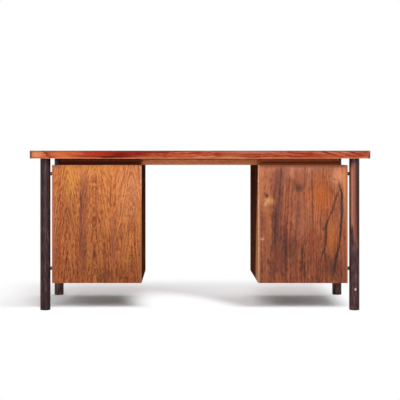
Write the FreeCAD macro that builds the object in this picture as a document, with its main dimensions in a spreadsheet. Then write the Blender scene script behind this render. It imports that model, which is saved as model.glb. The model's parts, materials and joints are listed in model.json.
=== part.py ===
import FreeCAD, Part
import os
import re
import Sketcher

# Executive desk with two drawer pedestals hung between four round legs.
# Millimetres. The origin is on the floor under the middle of the worktop, +Z is up,
# -Y is the closed side that a visitor sees and +Y the user's side with the drawers.
# +X is to the right for the visitor.

SIZES = {
    # Worktop: a veneered board in solid lippings
    "desk_height": 735,
    "worktop_length": 1550,
    "worktop_depth": 760,
    "worktop_thickness": 36,
    "worktop_lipping": 10,
    "worktop_arris": 1.5,
    # Round legs, their floor glides and their top dowels
    "leg_diameter": 47,
    "leg_end_inset": 62.5,
    "foot_chamfer": 1.5,
    "glide_diameter": 28,
    "glide_thickness": 4,
    "glide_recess": 2.5,
    "glide_edge": 0.8,
    "glide_pin_diameter": 5,
    "glide_pin_length": 16,
    "dowel_diameter": 12,
    "dowel_in_leg": 24,
    "dowel_in_worktop": 20,
    "dowel_chamfer": 1,
    # Spacers and studs that hold each pedestal between its legs
    "leg_gap": 8,
    "spacer_diameter": 16,
    "spacer_seat": 2.5,
    "lower_spacer_height": 68,
    "upper_spacer_drop": 40,
    "stud_diameter": 8,
    "stud_in_leg": 28,
    "stud_in_panel": 34,
    "stud_in_side": 14,
    # Rails between the pedestals and the worktop
    "rail_height": 30,
    "rail_thickness": 22,
    "rail_setback": 70,
    "rail_end_inset": 31,
    "rail_arris": 1,
    "screw_diameter": 4,
    "screw_length": 35,
    "screw_point": 3,
    "screw_head_diameter": 8,
    "screw_head_height": 3,
    "screw_end_inset": 45,
    "rail_screw_recess": 13,
    "knee_screw_share": 0.45,
    # Pedestal cases
    "pedestal_width": 412,
    "pedestal_overhang": 66,
    "pedestal_clearance": 125,
    "side_thickness": 18,
    "case_board": 18,
    "housing_depth": 9,
    "visitor_panel_thickness": 18,
    "panel_lipping": 9,
    "side_lipping": 20,
    "case_arris": 1,
    # Drawers
    "reveal": 2,
    "front_thickness": 20,
    "front_setback": 2,
    "front_arris": 1,
    "left_top_front": 112,
    "left_middle_front": 160,
    "right_top_front": 112,
    "drawer_side_thickness": 12,
    "drawer_side_arris": 1.5,
    "tail_length": 12,
    "tail_pitch": 30,
    "pin_width": 4,
    "pin_flare": 2,
    "drawer_back_thickness": 12,
    "back_housing": 4,
    "back_inset": 8,
    "back_drop": 6,
    "back_clearance": 38,
    "box_rise": 8,
    "box_drop": 12,
    "bottom_thickness": 6,
    "bottom_rise": 9,
    "bottom_groove": 5,
    "runner_groove_height": 16,
    "runner_groove_depth": 6,
    "runner_stop": 40,
    "runner_rear_inset": 12,
    # Turned knobs
    "knob_diameter": 34,
    "knob_head": 13,
    "knob_neck_diameter": 17,
    "knob_neck_length": 13,
    "knob_tenon_diameter": 10,
    "knob_tenon_length": 14,
    "knob_rim_radius": 4,
    "knob_throat_radius": 5,
    # Fits
    "glue_line": 0.1,
    "running_fit": 0.3,
    "hole_end_room": 1,
}

os.makedirs("parts", exist_ok=True)
doc = FreeCAD.newDocument("executive_desk")
sheet = doc.addObject("Spreadsheet::Sheet", "sizes")
for row, (size_name, size_value) in enumerate(SIZES.items(), start=1):
    sheet.set(f"A{row}", size_name)
    sheet.set(f"B{row}", str(size_value))
    sheet.setAlias(f"B{row}", size_name)
doc.recompute()

nodes = []
base_points = {}

FULL_TURN = 360
TOUCHING = 1e-4
UPRIGHT = FreeCAD.Rotation()
ALONG_X = FreeCAD.Rotation(FreeCAD.Vector(0, 1, 0), 90)
ALONG_Y = FreeCAD.Rotation(FreeCAD.Vector(1, 0, 0), -90)


# Sizes in expressions

def in_cells(expression):
    """The expression with each size's name pointing at its cell in the sheet."""
    return re.sub(r"[a-z]\w+", lambda word: "sizes." + word.group(), expression)


def value(expression):
    return float(sheet.evalExpression(in_cells(expression)))


def bind(thing, **expressions):
    for name, expression in expressions.items():
        thing.setExpression(name, in_cells(expression))


def place(thing, x, y, z):
    for axis, expression in zip("xyz", (x, y, z)):
        thing.setExpression("Placement.Base." + axis, in_cells(expression))
    base_points[thing.Label] = (x, y, z)


def from_base(body, x, y, z):
    """A place of the desk's frame, measured from the point where the body is placed."""
    return [f"({far} - ({near}))" for far, near in zip((x, y, z), base_points[body.Label])]


# Sketches: point 1 of a line is its start and 2 its end, point 3 of a circle its centre,
# and element -1 is the sketch's own origin

def sketch_on(body, name, plane_role, level):
    sketch = body.newObject("Sketcher::SketchObject", name)
    plane = next(item for item in body.Origin.OriginFeatures if item.Role == plane_role)
    sketch.AttachmentSupport = (plane, [""])
    sketch.MapMode = "FlatFace"
    sketch.setExpression("AttachmentOffset.Base.z", in_cells(level))
    return sketch


def constrain(sketch, ties, joins=()):
    """Adds size constraints tied to expressions, and joins that need none."""
    constraints = [Sketcher.Constraint(*tie, value(expression)) for tie, expression in ties]
    numbers = sketch.addConstraint(constraints + list(joins))
    for number, (_, expression) in zip(numbers, ties):
        sketch.setExpression(f"Constraints[{number}]", in_cells(expression))


def from_origin(element, point, across, up):
    """Ties for a sketch point's two distances from the sketch's origin."""
    return [(("DistanceX", -1, 1, element, point), across), (("DistanceY", -1, 1, element, point), up)]


def draw_outlines(sketch, outlines):
    ties, joins = [], []
    for points in outlines:
        corners = [FreeCAD.Vector(value(across), value(up), 0) for across, up in points]
        segments = [Part.LineSegment(start, end) for start, end in zip(corners, corners[1:] + corners[:1])]
        lines = sketch.addGeometry(segments, False)
        for line, next_line, (across, up) in zip(lines, lines[1:] + lines[:1], points):
            joins.append(Sketcher.Constraint("Coincident", line, 2, next_line, 1))
            ties += from_origin(line, 1, across, up)
    constrain(sketch, ties, joins)


def draw_circles(sketch, centres, diameter):
    ties = []
    for across, up in centres:
        centre, normal = FreeCAD.Vector(value(across), value(up), 0), FreeCAD.Vector(0, 0, 1)
        circle = sketch.addGeometry(Part.Circle(centre, normal, value(diameter) / 2), False)
        ties += from_origin(circle, 3, across, up)
        ties.append((("Diameter", circle), diameter))
    constrain(sketch, ties)


def rectangle(x, y):
    return [(x[0], y[0]), (x[1], y[0]), (x[1], y[1]), (x[0], y[1])]


# Pieces and the cuts in them

def board(label, x, y, z):
    """A board between two values on each axis: a rectangle, padded upwards."""
    body = doc.addObject("PartDesign::Body", label)
    place(body, x[0], y[0], z[0])
    length, depth, height = from_base(body, x[1], y[1], z[1])
    sketch = sketch_on(body, label + "_outline", "XY_Plane", "0")
    draw_outlines(sketch, [rectangle(("0", length), ("0", depth))])
    pad = body.newObject("PartDesign::Pad", label + "_pad")
    pad.Profile = sketch
    bind(pad, Length=height)
    sketch.Visibility = False
    return body


def turned(label, profile, x, y, z, rotation=UPRIGHT):
    """A turned piece: an outline of radius and height, revolved about its own axis."""
    body = doc.addObject("PartDesign::Body", label)
    body.Placement.Rotation = rotation
    place(body, x, y, z)
    sketch = sketch_on(body, label + "_profile", "XZ_Plane", "0")
    draw_outlines(sketch, [profile])
    revolution = body.newObject("PartDesign::Revolution", label + "_turning")
    revolution.Profile = sketch
    revolution.ReferenceAxis = (sketch, ["V_Axis"])
    revolution.Angle = FULL_TURN
    sketch.Visibility = False
    return body


def cut_box(body, name, x, y, z):
    """A rebate, groove or housing between two values on each axis of the desk's frame."""
    low = from_base(body, x[0], y[0], z[0])
    high = from_base(body, x[1], y[1], z[1])
    sketch = sketch_on(body, f"{body.Name}_{name}_outline", "XY_Plane", low[2])
    draw_outlines(sketch, [rectangle((low[0], high[0]), (low[1], high[1]))])
    pocket = body.newObject("PartDesign::Pocket", f"{body.Name}_{name}")
    pocket.Profile = sketch
    pocket.Reversed = True
    bind(pocket, Length=f"{high[2]} - {low[2]}")
    sketch.Visibility = False


def bore(body, name, axis, centres, diameter, start, end):
    """Round holes along one axis, from start to end, at places of the desk's frame."""
    plane_role = {"x": "YZ_Plane", "y": "XZ_Plane", "z": "XY_Plane"}[axis]
    ends = ["0", "0", "0"]
    ends["xyz".index(axis)] = start
    begin = from_base(body, *ends)["xyz".index(axis)]
    level = f"-1 * {begin}" if axis == "y" else begin
    sketch = sketch_on(body, f"{body.Name}_{name}_circles", plane_role, level)
    draw_circles(sketch, [in_plane(axis, from_base(body, *centre)) for centre in centres], diameter)
    pocket = body.newObject("PartDesign::Pocket", f"{body.Name}_{name}")
    pocket.Profile = sketch
    pocket.Reversed = axis != "y"
    bind(pocket, Length=f"({end}) - ({start})")
    sketch.Visibility = False


def cut_outlines(body, name, x, outlines):
    """Cuts outlines of the desk's YZ plane through the board, between two values on X."""
    level = from_base(body, x[0], "0", "0")[0]
    sketch = sketch_on(body, f"{body.Name}_{name}_outlines", "YZ_Plane", level)
    draw_outlines(sketch, [[from_base(body, "0", y, z)[1:] for y, z in outline] for outline in outlines])
    pocket = body.newObject("PartDesign::Pocket", f"{body.Name}_{name}")
    pocket.Profile = sketch
    pocket.Reversed = True
    bind(pocket, Length=f"{x[1]} - {x[0]}")
    sketch.Visibility = False


def in_plane(axis, point):
    """The two coordinates of a point that lie across an axis."""
    return [item for name, item in zip("xyz", point) if name != axis]


def ease(body, name, radius, planes):
    """Rounds the edges that lie on two of the named outer planes."""
    doc.recompute()
    base = [value(expression) for expression in base_points[body.Label]]
    levels = [("xyz".index(axis), value(level)) for axis, level in planes]
    chosen = []
    for number, edge in enumerate(body.Tip.Shape.Edges, start=1):
        points = [edge.valueAt(end) for end in edge.ParameterRange]
        held = [all(abs(point[axis] + base[axis] - level) < TOUCHING for point in points)
                for axis, level in levels]
        if sum(held) == 2:
            chosen.append(f"Edge{number}")
    round_edges(body, name, radius, chosen)


def ease_rings(body, name, radius, rings):
    """Rounds the circular edges of a turned piece, named by radius and height."""
    doc.recompute()
    chosen = []
    for number, edge in enumerate(body.Tip.Shape.Edges, start=1):
        if edge.Curve.TypeId != "Part::GeomCircle":
            continue
        for ring_radius, height in rings:
            off_radius = abs(edge.Curve.Radius - value(ring_radius))
            off_height = abs(edge.Curve.Center.z - value(height))
            if max(off_radius, off_height) < TOUCHING:
                chosen.append(f"Edge{number}")
    round_edges(body, name, radius, chosen)


def round_edges(body, name, radius, chosen):
    if not chosen:
        raise RuntimeError(f"{body.Label} has no edge for {name}")
    base = body.Tip
    fillet = body.newObject("PartDesign::Fillet", f"{body.Name}_{name}")
    fillet.Base = (base, chosen)
    bind(fillet, Radius=radius)


def group(label, pieces):
    """Separate solids of one kind, kept together under one name."""
    compound = doc.addObject("Part::Compound", label)
    compound.Links = pieces
    nodes.append(compound)


# Places that several pieces share

END = "(worktop_length / 2)"
EDGE = "(worktop_depth / 2)"
UNDER_TOP = "(desk_height - worktop_thickness)"
CASE_LOW = "pedestal_clearance"
CASE_HIGH = f"({UNDER_TOP} - rail_height)"
CASE_FLOOR = f"({CASE_LOW} + case_board)"
CASE_CEILING = f"({CASE_HIGH} - case_board)"
CASE_FACE = f"({EDGE} - pedestal_overhang)"
PANEL_BACK = f"({CASE_FACE} - visitor_panel_thickness)"
LEG_X = f"({END} - leg_end_inset)"
LEG_Y = f"({CASE_FACE} - visitor_panel_thickness / 2)"
LEG_INSIDE = f"({LEG_X} - leg_diameter / 2)"
LEG_LOW = "(glide_thickness - glide_recess)"
CASE_OUTSIDE = f"({LEG_INSIDE} - leg_gap)"
CASE_INSIDE = f"({CASE_OUTSIDE} - pedestal_width)"
BAY_OUTER = f"({CASE_OUTSIDE} - side_thickness)"
BAY_INNER = f"({CASE_INSIDE} + side_thickness)"
RAIL_END = f"({CASE_OUTSIDE} - rail_end_inset)"
RAIL_FACE = f"({CASE_FACE} - rail_setback)"
RAIL_BACK = f"({RAIL_FACE} - rail_thickness)"
SPACER_LEVELS = (f"({CASE_LOW} + lower_spacer_height)", f"({CASE_HIGH} - upper_spacer_drop)")
SCREW_HEAD_TOP = f"({CASE_CEILING} + screw_head_height)"
RAIL_HEAD_TOP = f"({CASE_HIGH} + rail_screw_recess)"

SIDES = {"left": -1, "right": 1}
ENDS = {"front": -1, "rear": 1}


def mirror(sign, near, far):
    """The span between two distances from a middle plane, on one side of it."""
    if sign > 0:
        return (near, far)
    return (f"(-1 * {far})", f"(-1 * {near})")


def signed(sign, distance):
    return distance if sign > 0 else f"(-1 * {distance})"


# Screw places along a rail, as distances from the desk's middle

PEDESTAL_SCREWS = (f"({CASE_INSIDE} + screw_end_inset)", f"({RAIL_END} - screw_end_inset)")
RAIL_SCREWS = (f"({CASE_INSIDE} * knee_screw_share)", f"(({CASE_INSIDE} + {RAIL_END}) / 2)")
RAIL_MIDDLE = f"(({RAIL_FACE} + {RAIL_BACK}) / 2)"


def screw_places(distances):
    return [(signed(across, distance), signed(along, RAIL_MIDDLE))
            for across in SIDES.values() for along in ENDS.values() for distance in distances]


# Worktop

def make_worktop():
    core_x = f"({END} - worktop_lipping)"
    core_y = f"({EDGE} - worktop_lipping)"
    levels = (UNDER_TOP, "desk_height")
    core = board("top_board", mirror_span(core_x), mirror_span(core_y), levels)
    dowels = [(signed(across, LEG_X), signed(along, LEG_Y), "0")
              for across in SIDES.values() for along in ENDS.values()]
    dowel_top = f"({UNDER_TOP} + dowel_in_worktop + hole_end_room)"
    bore(core, "dowel_holes", "z", dowels, "dowel_diameter + 2 * glue_line", UNDER_TOP, dowel_top)
    screws = [(x, y, "0") for x, y in screw_places(RAIL_SCREWS)]
    screw_top = f"({RAIL_HEAD_TOP} + screw_length + hole_end_room)"
    bore(core, "screw_holes", "z", screws, "screw_diameter + 2 * glue_line", UNDER_TOP, screw_top)
    nodes.append(core)
    for end, sign in ENDS.items():
        lipping = board(f"top_lipping_{end}", mirror_span(core_x), mirror(sign, core_y, EDGE), levels)
        outer = [("y", signed(sign, EDGE)), ("z", UNDER_TOP), ("z", "desk_height")]
        ease(lipping, "arris", "worktop_arris", outer)
        nodes.append(lipping)
    for side, sign in SIDES.items():
        lipping = board(f"top_lipping_{side}", mirror(sign, core_x, END), mirror_span(EDGE), levels)
        outer = [("x", signed(sign, END)), ("y", EDGE), ("y", signed(-1, EDGE)),
                 ("z", UNDER_TOP), ("z", "desk_height")]
        ease(lipping, "arris", "worktop_arris", outer)
        nodes.append(lipping)


def mirror_span(half):
    return (f"(-1 * {half})", half)


# Rails and their screws

def make_underframe():
    levels = (CASE_HIGH, UNDER_TOP)
    for end, sign in ENDS.items():
        rail = board(f"{end}_rail", mirror_span(RAIL_END), mirror(sign, RAIL_BACK, RAIL_FACE), levels)
        inward = [(x, y, "0") for x, y in screw_places(PEDESTAL_SCREWS) if y == signed(sign, RAIL_MIDDLE)]
        upward = [(x, y, "0") for x, y in screw_places(RAIL_SCREWS) if y == signed(sign, RAIL_MIDDLE)]
        shank = "screw_diameter + 2 * glue_line"
        inward_top = f"({CASE_CEILING} + screw_length + hole_end_room)"
        bore(rail, "pedestal_screw_holes", "z", inward, shank, CASE_HIGH, inward_top)
        bore(rail, "rail_screw_holes", "z", upward, shank, CASE_HIGH, UNDER_TOP)
        bore(rail, "rail_screw_recesses", "z", upward, "screw_head_diameter + 2 * running_fit",
             CASE_HIGH, RAIL_HEAD_TOP)
        ease(rail, "arris", "rail_arris", [("y", signed(sign, RAIL_FACE)), ("z", CASE_HIGH)])
        nodes.append(rail)
    for side, sign in SIDES.items():
        across = mirror(sign, f"({RAIL_END} - rail_thickness)", RAIL_END)
        nodes.append(board(f"{side}_cross_rail", across, mirror_span(RAIL_BACK), levels))


def make_screws():
    """Cheese-headed wood screws that point up, from the cases and from the rails."""
    head, shank = "screw_head_diameter / 2", "screw_diameter / 2"
    profile = [("0", "0"), (head, "0"), (head, "screw_head_height"), (shank, "screw_head_height"),
               (shank, "screw_length - screw_point"), ("0", "screw_length")]
    pieces = []
    for distances, head_top in ((PEDESTAL_SCREWS, SCREW_HEAD_TOP), (RAIL_SCREWS, RAIL_HEAD_TOP)):
        for x, y in screw_places(distances):
            name = f"screw_{len(pieces) + 1}"
            pieces.append(turned(name, profile, x, y, f"({head_top} - screw_head_height)"))
    group("underframe_screws", pieces)


# Legs and what holds them

def make_legs():
    radius = "leg_diameter / 2"
    height = f"{UNDER_TOP} - {LEG_LOW}"
    profile = [("0", "0"), (f"{radius} - foot_chamfer", "0"), (radius, "foot_chamfer"),
               (radius, height), ("0", height)]
    for end, along in ENDS.items():
        for side, across in SIDES.items():
            x, y = signed(across, LEG_X), signed(along, LEG_Y)
            leg = turned(f"leg_{end}_{side}", profile, x, y, LEG_LOW)
            axis = [(x, y, "0")]
            pin_top = "(glide_thickness + glide_pin_length + hole_end_room)"
            bore(leg, "glide_recess", "z", axis, "glide_diameter + 2 * running_fit",
                 LEG_LOW, "glide_thickness")
            bore(leg, "pin_hole", "z", axis, "glide_pin_diameter + 2 * glue_line", LEG_LOW, pin_top)
            dowel_low = f"({UNDER_TOP} - dowel_in_leg - hole_end_room)"
            bore(leg, "dowel_hole", "z", axis, "dowel_diameter + 2 * glue_line", dowel_low, UNDER_TOP)
            places = [("0", y, level) for level in SPACER_LEVELS]
            seat = mirror(across, f"({LEG_INSIDE} - leg_gap)", f"({LEG_INSIDE} + spacer_seat)")
            hole_end = f"({LEG_INSIDE} + stud_in_leg + hole_end_room)"
            hole = mirror(across, f"({LEG_INSIDE} - leg_gap)", hole_end)
            bore(leg, "spacer_seats", "x", places, "spacer_diameter + 2 * glue_line", *seat)
            bore(leg, "stud_holes", "x", places, "stud_diameter + 2 * glue_line", *hole)
            nodes.append(leg)


def make_leg_fittings():
    glides, dowels, spacers, studs = [], [], [], []
    rim, pin = "glide_diameter / 2", "glide_pin_diameter / 2"
    pin_top = "glide_thickness + glide_pin_length"
    glide_profile = [("0", "0"), (f"{rim} - glide_edge", "0"), (rim, "glide_edge"),
                     (rim, "glide_thickness"), (pin, "glide_thickness"), (pin, pin_top), ("0", pin_top)]
    dowel, dowel_length = "dowel_diameter / 2", "(dowel_in_leg + dowel_in_worktop)"
    dowel_profile = [("0", "0"), (f"{dowel} - dowel_chamfer", "0"), (dowel, "dowel_chamfer"),
                     (dowel, f"{dowel_length} - dowel_chamfer"),
                     (f"{dowel} - dowel_chamfer", dowel_length), ("0", dowel_length)]
    spacer_length = "(leg_gap + spacer_seat)"
    inner, outer = "stud_diameter / 2 + glue_line", "spacer_diameter / 2"
    spacer_profile = [(inner, "0"), (outer, "0"), (outer, spacer_length), (inner, spacer_length)]
    for end, along in ENDS.items():
        far_end = f"({CASE_OUTSIDE} - {'stud_in_panel' if end == 'front' else 'stud_in_side'})"
        stud_length = f"({LEG_INSIDE} + stud_in_leg - {far_end})"
        stud = "stud_diameter / 2"
        stud_profile = [("0", "0"), (stud, "0"), (stud, stud_length), ("0", stud_length)]
        for side, across in SIDES.items():
            x, y = signed(across, LEG_X), signed(along, LEG_Y)
            corner = f"{end}_{side}"
            glides.append(turned(f"glide_{corner}", glide_profile, x, y, "0"))
            dowels.append(turned(f"dowel_{corner}", dowel_profile, x, y, f"{UNDER_TOP} - dowel_in_leg"))
            spacer_x = mirror(across, CASE_OUTSIDE, f"({LEG_INSIDE} + spacer_seat)")[0]
            stud_x = mirror(across, far_end, f"({LEG_INSIDE} + stud_in_leg)")[0]
            for name, level in zip(("low", "high"), SPACER_LEVELS):
                spacer_label, stud_label = f"spacer_{corner}_{name}", f"stud_{corner}_{name}"
                spacers.append(turned(spacer_label, spacer_profile, spacer_x, y, level, ALONG_X))
                studs.append(turned(stud_label, stud_profile, stud_x, y, level, ALONG_X))
    group("leg_glides", glides)
    group("leg_dowels", dowels)
    group("leg_spacers", spacers)
    group("leg_studs", studs)


# Pedestal cases

def stud_bores(body, sign, along, far_end):
    """Holes for the two studs of one leg, from the case's outer side inwards."""
    places = [("0", signed(along, LEG_Y), level) for level in SPACER_LEVELS]
    span = mirror(sign, f"({CASE_OUTSIDE} - {far_end} - hole_end_room)", CASE_OUTSIDE)
    bore(body, "stud_holes", "x", places, "stud_diameter + 2 * glue_line", *span)


def house_case_boards(body, x, y):
    cut_box(body, "top_housing", x, y, (CASE_CEILING, CASE_HIGH))
    cut_box(body, "bottom_housing", x, y, (CASE_LOW, CASE_FLOOR))


def make_case(side, sign):
    heights = (CASE_LOW, CASE_HIGH)
    side_end = f"({CASE_FACE} - side_lipping)"
    core_y = (f"(-1 * {PANEL_BACK})", side_end)
    lipping_y = (side_end, CASE_FACE)
    board_y = (f"(-1 * {PANEL_BACK})", CASE_FACE)
    outer_x = mirror(sign, BAY_OUTER, CASE_OUTSIDE)
    inner_x = mirror(sign, CASE_INSIDE, BAY_INNER)
    outer_housing = mirror(sign, BAY_OUTER, f"({BAY_OUTER} + housing_depth)")
    inner_housing = mirror(sign, f"({BAY_INNER} - housing_depth)", BAY_INNER)

    walls = {"outer": (outer_x, outer_housing), "inner": (inner_x, inner_housing)}
    lippings = []
    for wall, (wall_x, housing_x) in walls.items():
        core = board(f"{side}_{wall}_side", wall_x, core_y, heights)
        house_case_boards(core, housing_x, core_y)
        nodes.append(core)
        lipping = board(f"{side}_{wall}_side_lipping", wall_x, lipping_y, heights)
        house_case_boards(lipping, housing_x, lipping_y)
        if wall == "outer":
            stud_bores(lipping, sign, 1, "stud_in_side")
        outer_face = CASE_OUTSIDE if wall == "outer" else CASE_INSIDE
        ease(lipping, "arris", "case_arris", [("x", signed(sign, outer_face)), ("y", CASE_FACE)])
        lippings.append(lipping)
    group(f"{side}_side_lippings", lippings)

    board_x = mirror(sign, f"({BAY_INNER} - housing_depth)", f"({BAY_OUTER} + housing_depth)")
    case_top = board(f"{side}_pedestal_top", board_x, board_y, (CASE_CEILING, CASE_HIGH))
    screws = [(x, y, "0") for x, y in screw_places(PEDESTAL_SCREWS) if x in
              [signed(sign, distance) for distance in PEDESTAL_SCREWS]]
    bore(case_top, "screw_holes", "z", screws, "screw_diameter + 2 * glue_line", CASE_CEILING, CASE_HIGH)
    bore(case_top, "head_recesses", "z", screws, "screw_head_diameter + 2 * running_fit",
         CASE_CEILING, SCREW_HEAD_TOP)
    nodes.append(case_top)
    nodes.append(board(f"{side}_pedestal_bottom", board_x, board_y, (CASE_LOW, CASE_FLOOR)))

    panel_y = (f"(-1 * {CASE_FACE})", f"(-1 * {PANEL_BACK})")
    core_x = mirror(sign, f"({CASE_INSIDE} + panel_lipping)", f"({CASE_OUTSIDE} - panel_lipping)")
    panel = board(f"{side}_visitor_panel", core_x, panel_y, heights)
    stud_bores(panel, sign, -1, "stud_in_panel")
    nodes.append(panel)
    strips = {
        "outer": (mirror(sign, f"({CASE_OUTSIDE} - panel_lipping)", CASE_OUTSIDE), CASE_OUTSIDE),
        "inner": (mirror(sign, CASE_INSIDE, f"({CASE_INSIDE} + panel_lipping)"), CASE_INSIDE),
    }
    lippings = []
    for wall, (strip_x, outer_face) in strips.items():
        strip = board(f"{side}_{wall}_panel_lipping", strip_x, panel_y, heights)
        if wall == "outer":
            stud_bores(strip, sign, -1, "panel_lipping")
        ease(strip, "arris", "case_arris", [("x", signed(sign, outer_face)), ("y", signed(-1, CASE_FACE))])
        lippings.append(strip)
    group(f"{side}_panel_lippings", lippings)


# Drawers and their runners

FRONT_FACE = f"({CASE_FACE} - front_setback)"
FRONT_BACK = f"({FRONT_FACE} - front_thickness)"
TAIL_END = f"({FRONT_BACK} + tail_length)"
BOTTOM_GROOVE_END = f"({FRONT_BACK} + bottom_groove)"
BOX_REAR = f"(-1 * {PANEL_BACK} + back_clearance)"
BACK_Y = (f"({BOX_REAR} + back_inset)", f"({BOX_REAR} + back_inset + drawer_back_thickness)")
GROOVE_STOP = f"({FRONT_BACK} - runner_stop)"
BOX_INNER = f"({BAY_INNER} + reveal)"
BOX_OUTER = f"({BAY_OUTER} - reveal)"
BOX_MIDDLE = f"(({BOX_INNER} + {BOX_OUTER}) / 2)"
BOX_WALLS = ("inner", "outer")


def into_box(wall, start, end):
    """The span between two depths, measured into a drawer from one side's outer face."""
    if wall == "inner":
        return (f"({BOX_INNER} + {start})", f"({BOX_INNER} + {end})")
    return (f"({BOX_OUTER} - {end})", f"({BOX_OUTER} - {start})")


def across_box(sign, depth):
    """The span across a drawer that stops the same depth inside both outer faces."""
    return mirror(sign, f"({BOX_INNER} + {depth})", f"({BOX_OUTER} - {depth})")


def dovetails(box_z):
    """Outlines, in Y and Z, of the pins of a drawer's front and of the tails between them."""
    low, high = box_z
    count = max(1, round(value(f"({high} - {low}) / tail_pitch")))
    centres = [f"({low} + ({high} - {low}) * {number} / {count})" for number in range(count + 1)]
    at_root, at_tip = "pin_width / 2", "pin_width / 2 + pin_flare"
    undersides = [[(TAIL_END, f"({centre} - ({at_root}))"), (FRONT_BACK, f"({centre} - ({at_tip}))")]
                  for centre in centres]
    topsides = [[(FRONT_BACK, f"({centre} + ({at_tip}))"), (TAIL_END, f"({centre} + ({at_root}))")]
                for centre in centres]
    tails = [top + under for top, under in zip(topsides, undersides[1:])]
    undersides[0] = [(TAIL_END, low), (FRONT_BACK, low)]
    topsides[-1] = [(FRONT_BACK, high), (TAIL_END, high)]
    pins = [under + top for under, top in zip(undersides, topsides)]
    return pins, tails


def make_drawer(side, sign, name, low, high):
    """A dovetailed and grooved box behind an inset front; returns the pair of runners."""
    label = f"{side}_{name}_drawer"
    box_z = (f"({low} + box_rise)", f"({high} - box_drop)")
    bottom_low = f"({box_z[0]} + bottom_rise)"
    bottom_z = (bottom_low, f"({bottom_low} + bottom_thickness)")
    knob_x, knob_z = signed(sign, BOX_MIDDLE), f"(({low} + {high}) / 2)"
    make_drawer_front(label, sign, (low, high), box_z, bottom_z, (knob_x, "0", knob_z))
    runners = make_drawer_sides(label, sign, box_z, bottom_z)
    back_x = across_box(sign, "(drawer_side_thickness - back_housing)")
    back_z = (bottom_z[1], f"({box_z[1]} - back_drop)")
    nodes.append(board(f"{label}_back", back_x, BACK_Y, back_z))
    bottom_x = across_box(sign, "(drawer_side_thickness - bottom_groove + glue_line)")
    bottom_y = (BOX_REAR, f"({BOTTOM_GROOVE_END} - glue_line)")
    nodes.append(board(f"{label}_bottom", bottom_x, bottom_y, bottom_z))
    make_knob(label, knob_x, f"({FRONT_FACE} - knob_tenon_length)", knob_z)
    return runners


def make_drawer_front(label, sign, front_z, box_z, bottom_z, knob_centre):
    front_x = across_box(sign, "0")
    front = board(f"{label}_front", front_x, (FRONT_BACK, FRONT_FACE), front_z)
    _, tails = dovetails(box_z)
    for wall in BOX_WALLS:
        socket_x = mirror(sign, *into_box(wall, "0", "drawer_side_thickness"))
        cut_outlines(front, f"{wall}_sockets", socket_x, tails)
    groove_x = across_box(sign, "(drawer_side_thickness - bottom_groove)")
    cut_box(front, "bottom_groove", groove_x, (FRONT_BACK, BOTTOM_GROOVE_END), bottom_z)
    hole_start = f"({FRONT_FACE} - knob_tenon_length - hole_end_room)"
    hole_width = "knob_tenon_diameter + 2 * glue_line"
    bore(front, "knob_hole", "y", [knob_centre], hole_width, hole_start, FRONT_FACE)
    outer = [("y", FRONT_FACE), ("z", front_z[0]), ("z", front_z[1]), ("x", front_x[0]), ("x", front_x[1])]
    ease(front, "arris", "front_arris", outer)
    nodes.append(front)


def make_drawer_sides(label, sign, box_z, bottom_z):
    """Both sides of a drawer, grooved outside for the runners that it slides on."""
    sides, runners = [], []
    middle = f"(({box_z[0]} + {box_z[1]}) / 2)"
    groove_y = (BOX_REAR, GROOVE_STOP)
    groove_z = (f"({middle} - runner_groove_height / 2)", f"({middle} + runner_groove_height / 2)")
    runner_y = (f"({BOX_REAR} + runner_rear_inset)", f"({GROOVE_STOP} - running_fit)")
    runner_z = (f"({groove_z[0]} + running_fit)", f"({groove_z[1]} - running_fit)")
    pins, _ = dovetails(box_z)
    for wall in BOX_WALLS:
        side_x = mirror(sign, *into_box(wall, "0", "drawer_side_thickness"))
        runner_groove_x = mirror(sign, *into_box(wall, "0", "runner_groove_depth"))
        bottom_groove_start = "(drawer_side_thickness - bottom_groove)"
        bottom_groove_x = mirror(sign, *into_box(wall, bottom_groove_start, "drawer_side_thickness"))
        runner_x = mirror(sign, *into_box(wall, "(-1 * reveal)", "(runner_groove_depth - running_fit)"))
        housing_start = "(drawer_side_thickness - back_housing)"
        housing_x = mirror(sign, *into_box(wall, housing_start, "drawer_side_thickness"))
        drawer_side = board(f"{label}_{wall}_side", side_x, (BOX_REAR, TAIL_END), box_z)
        cut_outlines(drawer_side, "between_tails", side_x, pins)
        cut_box(drawer_side, "runner_groove", runner_groove_x, groove_y, groove_z)
        cut_box(drawer_side, "bottom_groove", bottom_groove_x, (BOX_REAR, BOTTOM_GROOVE_END), bottom_z)
        cut_box(drawer_side, "back_housing", housing_x, BACK_Y, (bottom_z[1], f"({box_z[1]} - back_drop)"))
        top_edges = [("x", side_x[0]), ("x", side_x[1]), ("z", box_z[1])]
        ease(drawer_side, "arris", "drawer_side_arris", top_edges)
        sides.append(drawer_side)
        runners.append(board(f"{label}_{wall}_runner", runner_x, runner_y, runner_z))
    group(f"{label}_sides", sides)
    return runners


def make_knob(label, x, y, z):
    """A turned knob whose tenon is glued into the drawer's front."""
    tenon, neck, rim = "knob_tenon_diameter / 2", "knob_neck_diameter / 2", "knob_diameter / 2"
    shoulder = "knob_tenon_length"
    under_head = f"({shoulder} + knob_neck_length)"
    face = f"({under_head} + knob_head)"
    profile = [("0", "0"), (tenon, "0"), (tenon, shoulder), (neck, shoulder), (neck, under_head),
               (rim, under_head), (rim, face), ("0", face)]
    knob = turned(f"{label}_knob", profile, x, y, z, ALONG_Y)
    ease_rings(knob, "rim", "knob_rim_radius", [(rim, under_head), (rim, face)])
    ease_rings(knob, "throat", "knob_throat_radius", [(neck, under_head)])
    nodes.append(knob)


def make_drawers(side, sign, stack):
    """Stacks the drawers down from the case's top; the last one fills what is left."""
    high = f"({CASE_CEILING} - reveal)"
    runners = []
    for name, height in stack:
        low = f"({high} - {height})" if height else f"({CASE_FLOOR} + reveal)"
        runners += make_drawer(side, sign, name, low, high)
        high = f"({low} - reveal)"
    group(f"{side}_runners", runners)


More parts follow.
